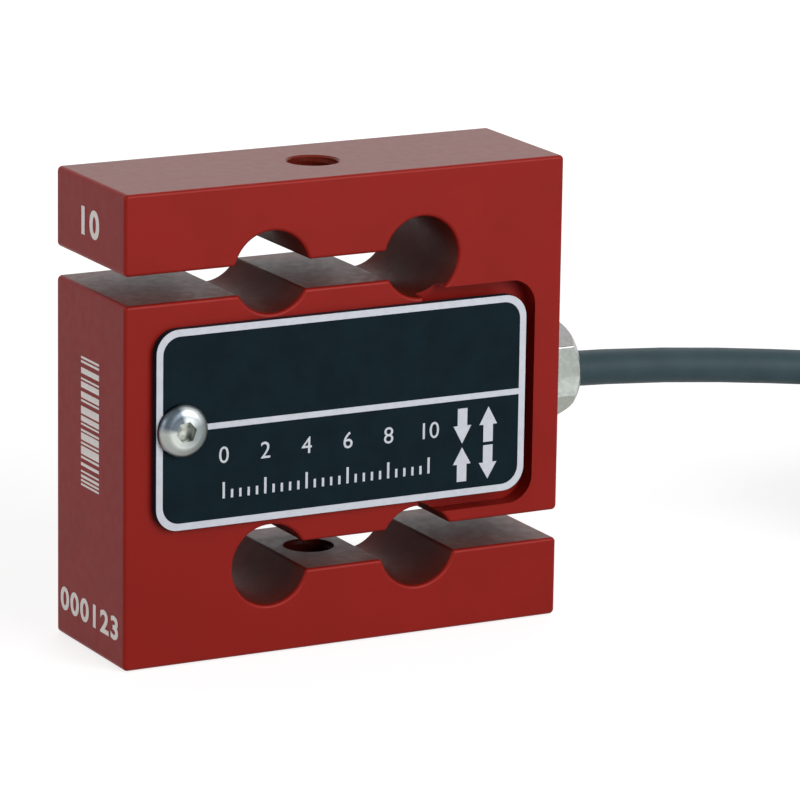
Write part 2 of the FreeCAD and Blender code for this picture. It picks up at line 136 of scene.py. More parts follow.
# Bars on the left face: the gap below each one and its width, from the foot up
BARS_FOOT = 17.15
BAR_HALF = 2.15
SIDE_BARS = ((0.0, 0.22), (0.2, 0.22), (0.2, 0.3), (0.26, 0.2), (0.48, 0.34), (0.44, 0.24), (0.2, 0.86),
             (0.2, 0.22), (0.22, 0.74), (0.16, 0.24), (0.42, 0.2), (0.2, 0.56), (0.22, 0.8), (0.46, 0.22),
             (0.2, 0.64), (0.42, 0.62), (0.2, 0.2), (0.46, 0.6), (0.5, 0.24), (0.2, 0.24))

# Figures on the left face: their text, middle, foot, height, and how wide, spaced and bold they are
SIDE_FIGURES = {
    "side_number": dict(text="10", u=-0.35, v=43.3, height=3.0, squeeze=1.15, gap=1.2, bold=0.035),
    "side_figures": dict(text="000123", u=-0.1, v=2.8, height=2.5, squeeze=1.25, gap=1.17, bold=0.03),
}
FIGURE_STEPS = 8        # points on each stretch of a figure's outline
FIGURE_T = 0.01         # thickness of a figure before it is scaled

# Turns of the M6 load threads
THREAD_PITCH = 1.0
THREAD_ROOT = 2.70      # just behind the hole's wall
THREAD_CREST = 2.47
ROOT_HALF = 0.42        # half widths of a turn
CREST_HALF = 0.07
THREAD_STEPS = 28       # points on each turn
RUN_OUT = 10.0          # steps on which the thread rises at its ends
LEAST_RISE = 0.02       # share of its height from which it rises

# Cable: corner points of its way to the hank
ROUTE = [
    (11.5, 0.0, 24.6),
    (32.75, 0.0, 24.6),
    (66.0, 0.0, 20.75),
    (90.0, -14.5, 19.315),
    (110.0, -14.5, 17.4),
]

# Hank: two columns and four rows of turns, with a first turn in the groove on top
HANK_NEAR = 87.0        # middles of the end loops
HANK_RUN = 70.0
HANK_FAR = HANK_NEAR + HANK_RUN
HANK_Y = -1.2           # middle line
HANK_COLS = 2
HANK_ROWS = 4
FOLD_R = 11.4           # innermost turn
LANE_R = [FOLD_R + CABLE_D * column for column in range(HANK_COLS)]
LANE_Z = [CABLE_D * (row + 0.5) for row in range(HANK_ROWS)]
TOP_Z = 16.6            # height of the first turn
TOP_LANE = (0.5 * (LANE_R[0] + LANE_R[-1]), TOP_Z)
LOOP_STEP = 15.0        # degrees between the points of a loop
# points along the two legs, from the tie, and the way in of the first turn with its heights
FRONT_LEG = (-33.0, -17.0, 0.0, 17.0, 33.0)
BACK_LEG = (33.0, 20.0, 11.0, 5.0, 0.0, -5.0, -11.0, -20.0, -33.0)
RUN_IN = ((2.0, TOP_Z + 0.2), (17.0, TOP_Z), (33.0, TOP_Z))
# degrees at the far loop where the lowest turn starts to move to its lane, and where those above follow
SHIFT_START = -85.0
SHIFT_SPAN = 80.0
SHIFT_LAG = 10.0        # each turn later than the one below it
TOP_LAG = 35.0          # the first turn later still
TIE_T = 0.8
TIE_LIFT = 1.06         # the lowest turn is lifted by this share of the tie's thickness
TIE_REACH = 9.0         # on about this length to each side
CABLE_SIDES = 6
CABLE_STEPS = 5

# Stripped cores and strands at the cable's free end
TAIL_END = (169.9, HANK_Y - LANE_R[-1], LANE_Z[0])
CORE_D = 0.9
CORE_RING = 1.05        # radius on which the cores lie in the jacket
CORE_IN = 1.0           # a core starts this far inside the jacket
STRIP_L = 20.0
STRIP_STRAIGHT = 0.24   # share of that length on which a core runs straight
STRIP_BEND = 0.6        # share at which it bends down to the floor
FAN = 2.0               # spread of the cores, as a share of their place in the jacket
FAN_SHIFT = 2.6         # and their common drift towards the hank's middle line
STRAND_D = 0.5
STRAND_L = 5.0          # bare length at a core's end
STRAND_IN = 1.0         # a strand starts this far inside its core
STRAND_SHORT = 0.5      # and ends this far short of the solid's end
CORE_SIDES = 4
CORE_STEPS = 10
STRAND_STEPS = 4

# Floor and lamps, in metres and watts; every lamp faces the middle of the block
FLOOR_HALF = 3.0
FLOOR_DROP = 0.0001         # just clear of the object
FLOOR_GREY = 0.45
FLOOR_PALE = (0.77, 0.96)   # glow of the floor at the object, and away from it where the lamps fade
FLOOR_FADE = (0.08, 0.4)    # it changes between these distances from the origin
WORLD_DIM = 0.15            # light of the world on the object, where the white that is seen is 1
LAMP_AIM = (0.0, 0.0, 0.025)
# place, side and power
LAMPS = {
    "key": ((0.2, -0.52, 0.25), 0.42, 2.75),
    "left": ((-0.8, -0.12, 0.35), 0.4, 2.0),
    "back": ((0.35, 0.6, 0.8), 0.5, 2.0),
}

# Camera, fitted to the photograph's edges
CAM_AZIMUTH = -28.19
CAM_ELEVATION = 14.0
CAM_ROLL = 0.86
CAM_TARGET = Vector((11.55, 1.85, 22.3)) * MM
CAM_DISTANCE = 568.6 * MM
CAM_LENS = 244.3
CAM_SENSOR = 36.0
CAM_CLIP = (0.01, 20.0)

# Painted reflections on the turned steel: greys and their places round the screw's axis, clockwise from the
# left
REFLECTION_DARK = (0.08, 0.10, 0.12)
REFLECTION_DIM = (0.16, 0.18, 0.18)
REFLECTION_SOFT = (0.34, 0.36, 0.34)
REFLECTION_LIGHT = (0.48, 0.52, 0.52)
PAINTED_REFLECTIONS = ((0.0, REFLECTION_SOFT), (0.05, REFLECTION_DARK), (0.2, REFLECTION_DARK), (0.25, REFLECTION_LIGHT),
           (0.33, REFLECTION_LIGHT), (0.45, REFLECTION_DIM), (0.6, REFLECTION_DIM), (0.85, REFLECTION_SOFT), (1.0, REFLECTION_SOFT))
# Its painted brightness from the socket to the edge of the flat: painted shade on the chamfer at the
# socket's mouth, a painted highlight ring beyond it, and painted shade towards the edge
PAINTED_HEAD_LIGHT = ((0.0, 0.9), (0.14, 0.9), (0.2, 0.5), (0.26, 1.0), (0.65, 0.95), (1.0, 0.7))
# Mottled greys in the socket, darker than the head's highlights as painted shade
SOCKET_SHADE_GREYS = ((0.40, (0.15, 0.16, 0.15)), (0.62, (0.40, 0.42, 0.38)))
# Painted light and shade of the gland's flats, by the way they face, from down to up, with painted
# highlights on the edges between them
FLAT_SHADES = ((0.0, (0.21, 0.23, 0.195)), (0.14, (0.21, 0.23, 0.195)), (0.3, (0.30, 0.32, 0.30)),
         (0.42, (0.195, 0.21, 0.195)), (0.6, (0.195, 0.21, 0.195)), (0.72, (0.46, 0.46, 0.44)),
         (0.86, (0.208, 0.20, 0.20)), (1.0, (0.208, 0.20, 0.20)))


def sockets(node, **values):
    """Set sockets by name, with an underscore for a space."""
    for key, value in values.items():
        node.inputs[key.replace("_", " ")].default_value = value


class Nodes:
    """A node tree with a few short ways to add nodes."""

    def __init__(self, tree):
        self.tree = tree

    def add(self, kind, operation=None, **values):
        node = self.tree.nodes.new(kind)
        if operation:
            node.operation = operation
        sockets(node, **values)
        return node

    def link(self, source, target):
        self.tree.links.new(source, target)

    def object_place(self):
        return self.add("ShaderNodeTexCoord").outputs["Object"]

    def part(self, vector, axis):
        node = self.add("ShaderNodeSeparateXYZ")
        self.link(vector, node.inputs["Vector"])
        return node.outputs[axis]

    def combine(self, operation, first, second):
        """One number from two."""
        node = self.add("ShaderNodeMath", operation)
        self.link(first, node.inputs[0])
        self.link(second, node.inputs[1])
        return node.outputs["Value"]

    def times(self, color, share):
        """A colour times a number."""
        node = self.add("ShaderNodeVectorMath", "SCALE")
        self.link(color, node.inputs["Vector"])
        self.link(share, node.inputs["Scale"])
        return node.outputs["Vector"]

    def span(self, value, low, high, start=0.3, end=0.7):
        """A number that goes from low to high while the value goes from start to end."""
        node = self.add("ShaderNodeMapRange", From_Min=start, From_Max=end, To_Min=low, To_Max=high)
        self.link(value, node.inputs["Value"])
        return node.outputs["Result"]

    def seen_share(self, hidden, seen):
        """One number for camera, glossy and transmission rays, and another for the rest."""
        path = self.add("ShaderNodeLightPath").outputs
        total = path["Is Camera Ray"]
        for kind in ("Is Glossy Ray", "Is Transmission Ray"):
            total = self.combine("MAXIMUM", total, path[kind])
        return self.span(total, hidden, seen, 0.0, 1.0)


class Paint(Nodes):
    """A material that starts from one colour and roughness."""

    def __init__(self, name, color, roughness, metallic=0.0):
        self.material = bpy.data.materials.new(name)
        self.material.use_nodes = True
        super().__init__(self.material.node_tree)
        self.shader = self.tree.nodes["Principled BSDF"]
        self.color = color
        sockets(self.shader, Base_Color=(*color, 1.0), Roughness=roughness, Metallic=metallic)
        self.coords = self.object_place()

    def noise(self, size_mm, detail=2.0, stretch=None):
        node = self.add("ShaderNodeTexNoise", Scale=1.0 / (size_mm * MM), Detail=detail)
        source = self.coords
        if stretch:
            mapping = self.add("ShaderNodeMapping", Scale=stretch)
            self.link(source, mapping.inputs["Vector"])
            source = mapping.outputs["Vector"]
        self.link(source, node.inputs["Vector"])
        return node.outputs["Fac"]

    def distance(self, point_mm):
        node = self.add("ShaderNodeVectorMath", "DISTANCE")
        self.link(self.coords, node.inputs[0])
        node.inputs[1].default_value = [value * MM for value in point_mm]
        return node.outputs["Value"]

    def ramp(self, fac, *stops):
        node = self.add("ShaderNodeValToRGB")
        marks = node.color_ramp.elements
        while len(marks) < len(stops):
            marks.new(0.5)
        for mark, (place, color) in zip(marks, stops):
            mark.position = place
            mark.color = (*color, 1.0)
        self.link(fac, node.inputs["Fac"])
        return node.outputs["Color"]

    def mix(self, share, first, second):
        """A colour between two others."""
        node = self.add("ShaderNodeMix")
        node.data_type = "RGBA"
        ends = [socket for socket in node.inputs if socket.type == "RGBA"]
        self.link(share, node.inputs["Factor"])
        self.link(first, ends[0])
        self.link(second, ends[1])
        return next(socket for socket in node.outputs if socket.type == "RGBA")

    def tint(self, color):
        self.link(color, self.shader.inputs["Base Color"])

    def vary(self, size_mm, share):
        """Colour drifts by a share of itself, in patches of the given size."""
        low = tuple(c * (1.0 - share) for c in self.color)
        high = tuple(min(1.0, c * (1.0 + share)) for c in self.color)
        self.tint(self.ramp(self.noise(size_mm, 3.0), (0.3, low), (0.7, high)))

    def rough(self, size_mm, low, high):
        self.link(self.span(self.noise(size_mm, 3.0), low, high), self.shader.inputs["Roughness"])

    def bump(self, height, depth_mm, strength):
        node = self.add("ShaderNodeBump", Strength=strength, Distance=depth_mm * MM)
        self.link(height, node.inputs["Height"])
        self.link(node.outputs["Normal"], self.shader.inputs["Normal"])


def anodised(name, color, ior, low, high):
    """Satin anodised faces of the bar."""
    paint = Paint(name, color, 0.5 * (low + high), metallic=0.1)
    sockets(paint.shader, IOR=ior)
    paint.vary(size_mm=7.0, share=0.05)
    paint.rough(size_mm=1.2, low=low, high=high)
    paint.bump(paint.noise(size_mm=0.16), depth_mm=0.005, strength=0.4)
    return paint.material


def machined(name, color, ior):
    """The same dye on cut walls: duller, and darker as painted shade, with faint tool lines across the bar.
    """
    paint = Paint(name, color, 0.42)
    sockets(paint.shader, IOR=ior)
    paint.vary(size_mm=3.0, share=0.10)
    paint.rough(size_mm=1.0, low=0.36, high=0.46)
    paint.bump(paint.noise(size_mm=0.3, stretch=(2.0, 0.4, 2.0)), depth_mm=0.003, strength=0.4)
    return paint.material


def plate_dark():
    paint = Paint("plate_dark", (0.0036, 0.0122, 0.0178), 0.42)
    sockets(paint.shader, IOR=1.14)
    paint.vary(size_mm=2.5, share=0.18)
    paint.rough(size_mm=0.6, low=0.36, high=0.48)
    paint.bump(paint.noise(size_mm=0.25), depth_mm=0.004, strength=0.4)
    return paint.material


def ink(name, color):
    paint = Paint(name, color, 0.45)
    paint.vary(size_mm=0.8, share=0.05)
    paint.bump(paint.noise(size_mm=0.2), depth_mm=0.004, strength=0.5)
    return paint.material


def stainless():
    """Turned steel with painted light: painted reflections in streaks round the screw's axis, a painted
    highlight ring and painted shade round the socket, mottled painted shade in it, and a rim darkened as
    painted shade.
    """
    paint = Paint("stainless", (0.62, 0.62, 0.58), 0.24, metallic=1.0)
    about = paint.add("ShaderNodeMapping", Location=(-SCREW[0] * MM, SCREW[1] * MM, 0.0),
                      Rotation=(math.radians(90.0), 0.0, 0.0))
    paint.link(paint.coords, about.inputs["Vector"])
    # painted reflections on the steel, in streaks round the screw's axis
    clock = paint.add("ShaderNodeTexGradient")
    clock.gradient_type = "RADIAL"
    paint.link(about.outputs["Vector"], clock.inputs["Vector"])
    streaks = paint.ramp(clock.outputs["Fac"], *PAINTED_REFLECTIONS)

    # painted shade on the head's rim where it meets the plate
    foot, top = PLATE_FACE - HEAD_FOOT, PLATE_FACE - RIM_TOP
    away = paint.distance((SCREW[0], foot, SCREW[1]))
    off_plate = paint.span(paint.part(paint.coords, "Y"), RIM_SHADE, 1.0, foot * MM, top * MM)
    off_rim = paint.span(away, 1.0, RIM_SHADE, RIM_R[0] * MM, RIM_R[1] * MM)
    # painted highlight and shade round the socket
    ring = paint.span(away, 0.0, 1.0, PAINTED_HEAD_R[0] * MM, PAINTED_HEAD_R[1] * MM)
    painted_light = paint.ramp(ring, *((place, (grey, grey, grey)) for place, grey in PAINTED_HEAD_LIGHT))
    light = paint.combine("MULTIPLY", paint.combine("MAXIMUM", off_plate, off_rim), painted_light)

    # mottled painted shade inside the socket, which gives way to the painted reflections
    out_of_socket = paint.span(away, 0.0, 1.0, SOCKET_R[0] * MM, SOCKET_R[1] * MM)
    mottled = paint.ramp(paint.noise(size_mm=0.9, detail=1.0), *SOCKET_SHADE_GREYS)
    metal = paint.mix(out_of_socket, mottled, streaks)
    paint.tint(paint.times(metal, paint.span(light, 0.0, STEEL_GAIN, 0.0, 1.0)))
    paint.rough(size_mm=0.5, low=0.30, high=0.40)
    paint.bump(paint.noise(size_mm=0.12), depth_mm=0.003, strength=0.4)
    return paint.material


def nickel():
    """Plated hexagon: each flat takes its own grey as painted light and shade, the broken edges between
    them get painted highlights, and the lower half a painted reflection.
    """
    paint = Paint("nickel", (0.33, 0.345, 0.32), 0.36, metallic=1.0)
    normal = paint.add("ShaderNodeNewGeometry").outputs["Normal"]
    # painted light and shade by the way each face points, with painted highlights on the edges
    flats = paint.ramp(paint.span(paint.part(normal, "Z"), 0.0, 1.0, -1.0, 1.0), *FLAT_SHADES)
    # painted reflection that brightens the lower half
    low, high = (z * MM for z in GLAND_REFLECTION_Z)
    painted_light = paint.times(flats, paint.span(paint.part(paint.coords, "Z"), GLAND_REFLECTION, 1.0, low, high))
    paint.tint(paint.times(painted_light, paint.span(paint.noise(size_mm=0.55, detail=4.0), 0.86, 1.14)))
    paint.rough(size_mm=0.5, low=0.30, high=0.42)
    paint.bump(paint.noise(size_mm=0.25, detail=3.0), depth_mm=0.008, strength=0.4)
    return paint.material


def jacket():
    paint = Paint("cable_jacket", (0.041, 0.072, 0.084), 0.49)
    sockets(paint.shader, IOR=1.24)
    paint.vary(size_mm=3.0, share=0.10)
    paint.rough(size_mm=0.8, low=0.44, high=0.54)
    paint.bump(paint.noise(size_mm=0.2), depth_mm=0.008, strength=0.5)
    return paint.material


def plain(name, color, low, high, metallic=0.0, size=0.8):
    """Material of a small piece; size is that of its patches, and its grain follows from it."""
    paint = Paint(name, color, 0.5 * (low + high), metallic)
    paint.vary(size_mm=size, share=0.10)
    paint.rough(size_mm=0.6 * size, low=low, high=high)
    paint.bump(paint.noise(size_mm=0.3 * size), depth_mm=0.006, strength=0.4)
    return paint.material


def gauge_film():
    """Amber film with the metal lines of its grid."""
    paint = Paint("gauge_film", (0.45, 0.22, 0.04), 0.3)
    wave = paint.add("ShaderNodeTexWave", Scale=420.0)
    wave.bands_direction = "Y"
    paint.link(paint.coords, wave.inputs["Vector"])
    paint.tint(paint.ramp(wave.outputs["Fac"], (0.45, paint.color), (0.55, (0.22, 0.20, 0.18))))
    return paint.material


RED = anodised("anodised_red", (0.265, 0.009, 0.005), 1.25, 0.36, 0.44)
# browner copy of the red on the top and underside: a painted warm sheen
RED_TOP_PAINTED_SHEEN = anodised("anodised_red_top_painted_sheen", (0.172, 0.016, 0.006), 1.285, 0.32, 0.36)
RED_SIDE = anodised("anodised_red_side", (0.245, 0.008, 0.005), 1.20, 0.36, 0.44)
# darker copies of the red as painted shade: slot floors, cut walls, and darkest the lower thread
RED_FLOOR_PAINTED_SHADE = machined("anodised_red_floor_painted_shade", (0.10, 0.016, 0.008), 1.34)
RED_CUT_PAINTED_SHADE = machined("anodised_red_cut_painted_shade", (0.13, 0.014, 0.007), 1.14)
RED_THREAD_PAINTED_SHADE = machined("anodised_red_thread_painted_shade", (0.055, 0.006, 0.004), 1.2)
WHITE_INK = ink("white_ink", (0.64, 0.665, 0.73))
SIDE_INK = ink("side_ink", (0.97, 0.90, 0.87))
JACKET = jacket()
RUBBER = plain("black_rubber", (0.012, 0.012, 0.012), 0.6, 0.75)
COPPER = plain("lead_copper", (0.52, 0.20, 0.09), 0.25, 0.4, metallic=1.0)
TINNED = plain("tinned_strand", (0.62, 0.61, 0.58), 0.25, 0.4, metallic=1.0, size=0.3)
CHIP = plain("chip", (0.02, 0.02, 0.022), 0.25, 0.4)
FILM = gauge_film()
CORE_COLORS = {
    "white": (0.72, 0.71, 0.67),
    "red": (0.42, 0.018, 0.016),
    "shield": (0.30, 0.30, 0.30),
    "green": (0.02, 0.20, 0.05),
    "black": (0.016, 0.016, 0.017),
}
CORE_PAINT = {key: plain("core_" + key, color, 0.35, 0.5) for key, color in CORE_COLORS.items()}
NODE_PAINT = {
    "sensor_body": RED,
    "cover_plate": plate_dark(),
    "cover_screw": stainless(),
    "gland_body": nickel(),
    "gland_seal": RUBBER,
    "gland_washer": RUBBER,
    "terminal_board": plain("board", (0.02, 0.13, 0.05), 0.3, 0.42, size=2.0),
    "span_resistor": CHIP,
    "zero_resistor": CHIP,
    "hank_tie": plain("tie_plastic", (0.012, 0.012, 0.013), 0.45, 0.6),
}


def node_paint(name):
    """Material of a solid that stays in view, or None for one that the cable's pieces replace."""
    if name.startswith("gauge_lead"):
        return COPPER
    if name.startswith("gauge_"):
        return FILM
    if name.startswith("inner_core"):
        return CORE_PAINT[name.rsplit("_", 1)[1]]
    return NODE_PAINT.get(name)


def body_finish(face):
    """Material of one face of the bar: a browner copy with a painted warm sheen on the top, the underside
    and the upper thread's mouth, darker copies as painted shade on slot floors, cut walls and, darkest, the
    lower thread, and a slightly darker, less glossy copy on the left and right faces; the front and the
    back keep the first.
    """
    x, y, z = face.center / MM
    up = face.normal.z
    off_axis = math.hypot(x, y)
    from_end = min(z, BLOCK_H - z)
    inside = abs(x) < HALF_W - CORNER and from_end > CORNER
    mouth = off_axis < MOUTH_R and up > MOUTH_UP and z > BLOCK_H - MOUTH_DEPTH
    if off_axis < THREAD_ROOT and z < ARM_H:
        return RED_THREAD_PAINTED_SHADE
    if mouth or abs(up) > SQUARE and from_end <= ON_END:
        return RED_TOP_PAINTED_SHEEN
    if inside and up > SQUARE and min(abs(z - floor) for floor in SLOT_FLOORS) < ON_FACE:
        return RED_FLOOR_PAINTED_SHADE
    if inside and CUT_Y[0] < y < CUT_Y[1]:
        return RED_CUT_PAINTED_SHADE
    if abs(face.normal.x) > SQUARE and abs(x) > HALF_W - ON_FACE:
        return RED_SIDE
    return RED


def paint_nodes():
    """Materials of the solids, and of the bar face by face."""
    for name, node in NODES.items():
        paint = node_paint(name)
        if paint:
            node.data.materials.clear()
            node.data.materials.append(paint)
    body = NODES["sensor_body"].data
    for finish in (RED_TOP_PAINTED_SHEEN, RED_FLOOR_PAINTED_SHADE, RED_CUT_PAINTED_SHADE, RED_SIDE, RED_THREAD_PAINTED_SHADE):
        body.materials.append(finish)
    for face in body.polygons:
        face.material_index = body.materials.find(body_finish(face).name)


def in_scene(name, data):
    obj = bpy.data.objects.new(name, data)
    bpy.context.scene.collection.objects.link(obj)
    return obj


def piece(name, data, material):
    obj = in_scene(name, data)
    data.materials.append(material)
    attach(obj, "root")
    return obj


def close(mesh):
    """Weld the points of a closed mesh and turn its faces outwards."""
    shell = bmesh.new()
    shell.from_mesh(mesh)
    bmesh.ops.remove_doubles(shell, verts=shell.verts, dist=WELD * MM)
    bmesh.ops.recalc_face_normals(shell, faces=shell.faces)
    shell.to_mesh(mesh)
    shell.free()


def mesh_piece(name, verts, faces, material):
    mesh = bpy.data.meshes.new(name)
    mesh.from_pydata([Vector(v) * MM for v in verts], [], faces)
    close(mesh)
    mesh.shade_flat()
    mesh.update()
    return piece(name, mesh, material)


def on_plate(u, v, h):
    return (u, PLATE_FACE - h, v)


def on_left(u, v, h):
    return (LEFT_FACE - h, -u, v)


def rectangle(u0, u1, v0, v1):
    return [(u0, v0), (u1, v0), (u1, v1), (u0, v1)]


def strips(n, pairs):
    """Faces between pairs of rings of n points; a pair holds the numbers of its two rings."""
    faces = []
    for first, second in pairs:
        for i in range(n):
            j = (i + 1) % n
            faces.append((first * n + i, first * n + j, second * n + j, second * n + i))
    return faces


def slab(outline, place):
    """Closed thin slab from a flat outline; place turns (u, v, h) into a point."""
    n = len(outline)
    verts = [place(u, v, h) for h in (0.0, INK_T) for u, v in outline]
    faces = [tuple(range(n)), tuple(range(n, 2 * n))] + strips(n, [(0, 1)])
    return verts, faces


def flat_marks(name, outlines, place, material):
    """One piece of print from several flat outlines."""
    verts, faces = [], []
    for outline in outlines:
        base = len(verts)
        slab_verts, slab_faces = slab(outline, place)
        verts += slab_verts
        faces += [tuple(i + base for i in face) for face in slab_faces]
    return mesh_piece(name, verts, faces, material)


def figures(name, text, u, v, height, place, material, slot, squeeze=1.0, gap=1.0, bold=0.0):
    """Plain figures as a thin mesh, centred at u with their foot at v."""
    curve = bpy.data.curves.new(name, "FONT")
    curve.body = text
    curve.size = 1.0
    curve.align_x = "CENTER"
    curve.space_character = gap
    curve.resolution_u = FIGURE_STEPS
    curve.offset = bold
    curve.extrude = FIGURE_T
    obj = in_scene(name, curve)
    mesh = bpy.data.meshes.new_from_object(obj.evaluated_get(bpy.context.evaluated_depsgraph_get()))
    bpy.data.objects.remove(obj)
    bpy.data.curves.remove(curve)
    low = min(p.co.y for p in mesh.vertices)
    high = max(p.co.y for p in mesh.vertices)
    scale = height / (high - low)
    for p in mesh.vertices:
        h = INK_T if p.co.z > 0.0 else 0.0
        p.co = Vector(place(u + p.co.x * scale * squeeze, v + (p.co.y - low) * scale, h)) * MM
    mesh.materials.clear()
    close(mesh)
    return piece(name, mesh, material)


def rounded(inset, r):
    """Outline of the plate, smaller all round by the inset, with corners of radius r."""
    x0, x1 = PLATE[0] + inset + r, PLATE[1] - inset - r
    z0, z1 = PLATE[2] + inset + r, PLATE[3] - inset - r
    points = []
    for cx, cz, start in ((x1, z0, -90.0), (x1, z1, 0.0), (x0, z1, 90.0), (x0, z0, 180.0)):
        for k in range(ARC_STEPS + 1):
            a = math.radians(start + 90.0 * k / ARC_STEPS)
            points.append((cx + r * math.cos(a), cz + r * math.sin(a)))
    return points


def border():
    """White frame along the plate's edge."""
    outer = rounded(BORDER_EDGE, PLATE_R - BORDER_EDGE)
    inner = rounded(BORDER_IN, PLATE_R - BORDER_ROUND * BORDER_IN)
    rings = ((outer, 0.0), (outer, INK_T), (inner, INK_T), (inner, 0.0))
    verts = [on_plate(u, v, h) for ring, h in rings for u, v in ring]
    faces = strips(len(outer), [(0, 1), (1, 2), (2, 3), (3, 0)])
    return mesh_piece("plate_border", verts, faces, WHITE_INK)


def arrow(x, base, tip):
    """Outline of an arrow that points up or down."""
    neck = base + math.copysign(ARROW_NECK, tip - base)
    right = [(ARROW_SHAFT, base), (ARROW_SHAFT, neck), (ARROW_HEAD, neck)]
    return [(x + half, z) for half, z in right] + [(x, tip)] + [(x - half, z) for half, z in right[::-1]]


def plate_marks():
    """Border, dividing line, arrows and a plain scale."""
    def marks(name, outlines):
        flat_marks(name, outlines, on_plate, WHITE_INK)

    border()
    marks("plate_divider", [rectangle(DIVIDER_X, PLATE[1] - BORDER_IN, *DIVIDER_Z)])
    marks("plate_arrows", [arrow(*places) for places in ARROWS])
    ticks = []
    for k in range(TICKS):
        u = SCALE_X + k * TICK_STEP
        top = TICK_TOP if k % TICKS_PER_NUMBER else TALL_TOP
        ticks.append(rectangle(u - TICK_HALF, u + TICK_HALF, TICK_FOOT, top))
    marks("plate_ticks", ticks)
    for k, tick in enumerate(range(0, TICKS, TICKS_PER_NUMBER)):
        u = SCALE_X + tick * TICK_STEP
        figures("plate_number_%d" % k, str(NUMBER_STEP * k), u, NUMBER_FOOT, NUMBER_H,
                on_plate, WHITE_INK, "plate_dark")


def side_marks():
    """Bars and figures on the left face."""
    bars = []
    v = BARS_FOOT
    for gap, width in SIDE_BARS:
        bars.append(rectangle(-BAR_HALF, BAR_HALF, v + gap, v + gap + width))
        v += gap + width
    flat_marks("side_bars", bars, on_left, SIDE_INK)
    for name, look in SIDE_FIGURES.items():
        figures(name, place=on_left, material=SIDE_INK, slot="anodised_red", **look)


def thread_turns(name, z0, z1, material):
    """Turns of a load thread that stand in from the wall of its hole."""
    total = int((z1 - z0 - THREAD_PITCH) / THREAD_PITCH * THREAD_STEPS)
    verts = []
    for k in range(total + 1):
        a = 2.0 * math.pi * k / THREAD_STEPS
        z = z0 + THREAD_PITCH * (0.5 + k / THREAD_STEPS)
        rise = max(LEAST_RISE, min(1.0, k / RUN_OUT, (total - k) / RUN_OUT))
        inner = THREAD_ROOT - (THREAD_ROOT - THREAD_CREST) * rise
        section = ((THREAD_ROOT, -ROOT_HALF), (inner, -CREST_HALF),
                   (inner, CREST_HALF), (THREAD_ROOT, ROOT_HALF))
        verts += [(r * math.cos(a), r * math.sin(a), z + dz) for r, dz in section]
    n = len(section)
    last = total * n
    faces = strips(n, [(k, k + 1) for k in range(total)])
    faces += [tuple(range(n)), tuple(range(last, last + n))]
    return mesh_piece(name, verts, faces, material)


def hank_lanes():
    """Radius and height of each turn: the one on top, then the rows from the top down, to and fro."""
    lanes = [TOP_LANE]
    for row in reversed(range(HANK_ROWS)):
        columns = LANE_R[::-1] if row % 2 else LANE_R
        lanes += [(r, LANE_Z[row]) for r in columns]
    return lanes


def half_loop(x, first, lane_at):
    """Points round one end of the hank; lane_at gives a turn's radius and height for an angle."""
    # the points stand out of the lane, so that the spline between them runs on it
    out = 1.0 / math.cos(math.radians(0.5 * LOOP_STEP))
    points = []
    for k in range(int(180.0 / LOOP_STEP)):
        angle = first + (k + 0.5) * LOOP_STEP
        r, z = lane_at(angle)
        a = math.radians(angle)
        points.append((x + r * out * math.cos(a), HANK_Y + r * out * math.sin(a), z))
    return points


def moving(old, new, start):
    """Lane of a turn by its angle, while it moves from one lane to the next with no kink."""
    def lane_at(angle):
        s = min(1.0, max(0.0, (angle - start) / SHIFT_SPAN))
        s = s * s * (3.0 - 2.0 * s)
        return [a + (b - a) * s for a, b in zip(old, new)]

    return lane_at


def tie_lift(along, z):
    """How far the tie lifts a turn at a place along its leg: the lowest row most, the top one not."""
    near = math.exp(-(along / TIE_REACH) ** 2)
    return TIE_LIFT * TIE_T * near * (LANE_Z[-1] - z) / (LANE_Z[-1] - LANE_Z[0])


def hank_points():
    points = [(TIE_X + along, HANK_Y - TOP_LANE[0], z) for along, z in RUN_IN]
    lanes = hank_lanes()
    for turn in range(1, len(lanes)):
        old, new = lanes[turn - 1], lanes[turn]
        start = SHIFT_START + SHIFT_LAG * (len(lanes) - 1 - turn)
        if turn == 1:
            start += TOP_LAG
        r, z = new
        points += half_loop(HANK_FAR, -90.0, moving(old, new, start))
        points += [(TIE_X + along, HANK_Y + r, z + tie_lift(along, z)) for along in BACK_LEG]
        points += half_loop(HANK_NEAR, 90.0, lambda angle: new)
        points += [(TIE_X + along, HANK_Y - r, z) for along in FRONT_LEG]
    return points


def nurbs(name, points, diameter, material, sides, steps):
    """Round cord on a smooth spline with the given control points."""
    curve = bpy.data.curves.new(name, "CURVE")
    curve.dimensions = "3D"
    curve.bevel_depth = 0.5 * diameter * MM
    curve.bevel_resolution = sides
    curve.use_fill_caps = True
    spline = curve.splines.new("NURBS")
    spline.points.add(len(points) - 1)
    for place, point in zip(spline.points, points):
        place.co = (*(Vector(point) * MM), 1.0)
    spline.order_u = 3
    spline.use_endpoint_u = True
    spline.resolution_u = steps
    spline.use_smooth = True
    return piece(name, curve, material)


